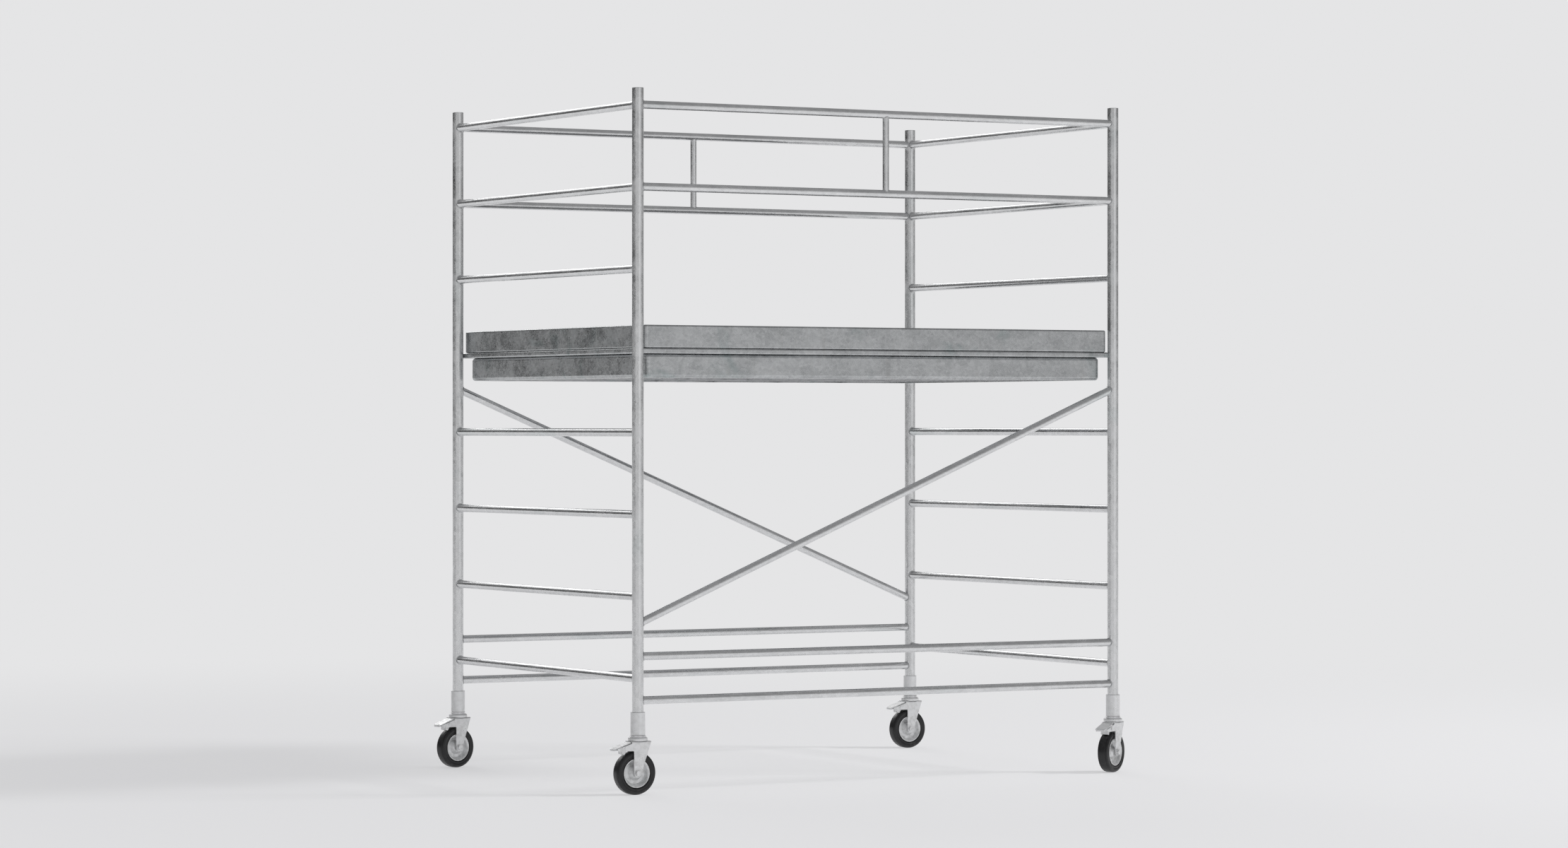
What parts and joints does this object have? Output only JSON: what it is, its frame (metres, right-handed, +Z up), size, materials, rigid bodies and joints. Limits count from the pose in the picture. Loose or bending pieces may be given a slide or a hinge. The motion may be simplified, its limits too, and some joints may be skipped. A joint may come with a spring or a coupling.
{
  "type": "mobile scaffold tower",
  "caption": "Mobile access scaffold: tubular posts and ladder rungs, a toe-boarded platform with a hatch, guardrails, braces and braked swivel castors.",
  "frame": {"origin": "floor-level middle of the whole footprint, castors and pedals included", "axes": "+Z up from the floor; +X along the platform towards the right end; +Y across it towards the back"},
  "size_m": [2.2731, 1.6117, 2.585],
  "materials": {
    "galvanised_tube": "weathered hot-dip zinc, satin",
    "galvanised_sheet": "weathered hot-dip zinc, mottled",
    "zinc_castor": "bright zinc plate, satin",
    "bearing_steel": "polished, greased",
    "tyre_rubber": "black rubber, semi-matt",
    "bush_plastic": "plain nylon"
  },
  "bodies": {
    "frame": {"post_front_left": "galvanised_tube", "post_back_left": "galvanised_tube", "post_front_right": "galvanised_tube", "post_back_right": "galvanised_tube", "rungs_left_end": "galvanised_tube", "rungs_right_end": "galvanised_tube", "top_rail_front": "galvanised_tube", "mid_rail_front": "galvanised_tube", "top_rail_back": "galvanised_tube", "mid_rail_back": "galvanised_tube", "rail_struts": "galvanised_tube", "base_rails_front": "galvanised_tube", "base_rails_back": "galvanised_tube", "brace_front": "galvanised_tube", "brace_back": "galvanised_tube", "deck_rim": "galvanised_sheet", "deck_beam_front": "galvanised_sheet", "deck_beam_back": "galvanised_sheet", "deck_beam_left": "galvanised_sheet", "deck_beam_right": "galvanised_sheet", "toe_board_front": "galvanised_sheet", "toe_board_back": "galvanised_sheet", "toe_board_left": "galvanised_sheet", "toe_board_right": "galvanised_sheet", "deck_joists": "galvanised_sheet", "deck_panel_left": "galvanised_sheet", "deck_panel_right": "galvanised_sheet", "hatch_hinge_fixed_leaves": "zinc_castor", "hatch_hinge_pins": "zinc_castor", "castor_sockets": "zinc_castor", "castor_bearing_cups": "zinc_castor", "castor_thrust_rings": "zinc_castor", "castor_kingpins": "zinc_castor", "castor_bearing_balls": "bearing_steel"},
    "hatch": {"hatch_panel": "galvanised_sheet", "hatch_hinge_moving_leaves": "zinc_castor"},
    "castor_front_left": {"fork_front_left": "zinc_castor", "axle_and_pedal_pins_front_left": "zinc_castor"},
    "pedal_front_left": {"brake_pedal_front_left": "zinc_castor"},
    "wheel_front_left": {"tyre_front_left": "tyre_rubber", "wheel_rim_front_left": "zinc_castor", "wheel_bush_front_left": "bush_plastic"},
    "castor_back_left": {"fork_back_left": "zinc_castor", "axle_and_pedal_pins_back_left": "zinc_castor"},
    "pedal_back_left": {"brake_pedal_back_left": "zinc_castor"},
    "wheel_back_left": {"tyre_back_left": "tyre_rubber", "wheel_rim_back_left": "zinc_castor", "wheel_bush_back_left": "bush_plastic"},
    "castor_front_right": {"fork_front_right": "zinc_castor", "axle_and_pedal_pins_front_right": "zinc_castor"},
    "pedal_front_right": {"brake_pedal_front_right": "zinc_castor"},
    "wheel_front_right": {"tyre_front_right": "tyre_rubber", "wheel_rim_front_right": "zinc_castor", "wheel_bush_front_right": "bush_plastic"},
    "castor_back_right": {"fork_back_right": "zinc_castor", "axle_and_pedal_pins_back_right": "zinc_castor"},
    "pedal_back_right": {"brake_pedal_back_right": "zinc_castor"},
    "wheel_back_right": {"tyre_back_right": "tyre_rubber", "wheel_rim_back_right": "zinc_castor", "wheel_bush_back_right": "bush_plastic"}
  },
  "joints": [
    {"name": "hatch_hinge", "type": "hinge", "parent": "frame", "child": "hatch", "pos_m": [-0.817, 0.6555, 1.6399], "axis": [-1, 0, 0], "range_deg": [0, 99.5]},
    {"name": "swivel_front_left", "type": "hinge", "parent": "frame", "child": "castor_front_left", "pos_m": [-1.03, -0.736, 0.197], "axis": [0, 0, 1], "continuous": true},
    {"name": "wheel_spin_front_left", "type": "hinge", "parent": "castor_front_left", "child": "wheel_front_left", "pos_m": [-1.0445, -0.736, 0.08], "axis": [0, 1, 0], "continuous": true},
    {"name": "brake_front_left", "type": "hinge", "parent": "castor_front_left", "child": "pedal_front_left", "pos_m": [-1.092, -0.736, 0.172], "axis": [0, -1, 0], "range_deg": [0, 20]},
    {"name": "swivel_back_left", "type": "hinge", "parent": "frame", "child": "castor_back_left", "pos_m": [-1.03, 0.764, 0.197], "axis": [0, 0, 1], "continuous": true},
    {"name": "wheel_spin_back_left", "type": "hinge", "parent": "castor_back_left", "child": "wheel_back_left", "pos_m": [-1.04416, 0.76086, 0.08], "axis": [-0.2164, 0.9763, 0], "continuous": true},
    {"name": "brake_back_left", "type": "hinge", "parent": "castor_back_left", "child": "pedal_back_left", "pos_m": [-1.09053, 0.75058, 0.172], "axis": [0.2164, -0.9763, 0], "range_deg": [0, 20]},
    {"name": "swivel_front_right", "type": "hinge", "parent": "frame", "child": "castor_front_right", "pos_m": [1.07, -0.736, 0.197], "axis": [0, 0, 1], "continuous": true},
    {"name": "wheel_spin_front_right", "type": "hinge", "parent": "castor_front_right", "child": "wheel_front_right", "pos_m": [1.05726, -0.74292, 0.08], "axis": [-0.4772, 0.8788, 0], "continuous": true},
    {"name": "brake_front_right", "type": "hinge", "parent": "castor_front_right", "child": "pedal_front_right", "pos_m": [1.01551, -0.76558, 0.172], "axis": [0.4772, -0.8788, 0], "range_deg": [0, 20]},
    {"name": "swivel_back_right", "type": "hinge", "parent": "frame", "child": "castor_back_right", "pos_m": [1.07, 0.764, 0.197], "axis": [0, 0, 1], "continuous": true},
    {"name": "wheel_spin_back_right", "type": "hinge", "parent": "castor_back_right", "child": "wheel_back_right", "pos_m": [1.05551, 0.76349, 0.08], "axis": [-0.0349, 0.9994, 0], "continuous": true},
    {"name": "brake_back_right", "type": "hinge", "parent": "castor_back_right", "child": "pedal_back_right", "pos_m": [1.00804, 0.76184, 0.172], "axis": [0.0349, -0.9994, 0], "range_deg": [0, 20]}
  ]
}
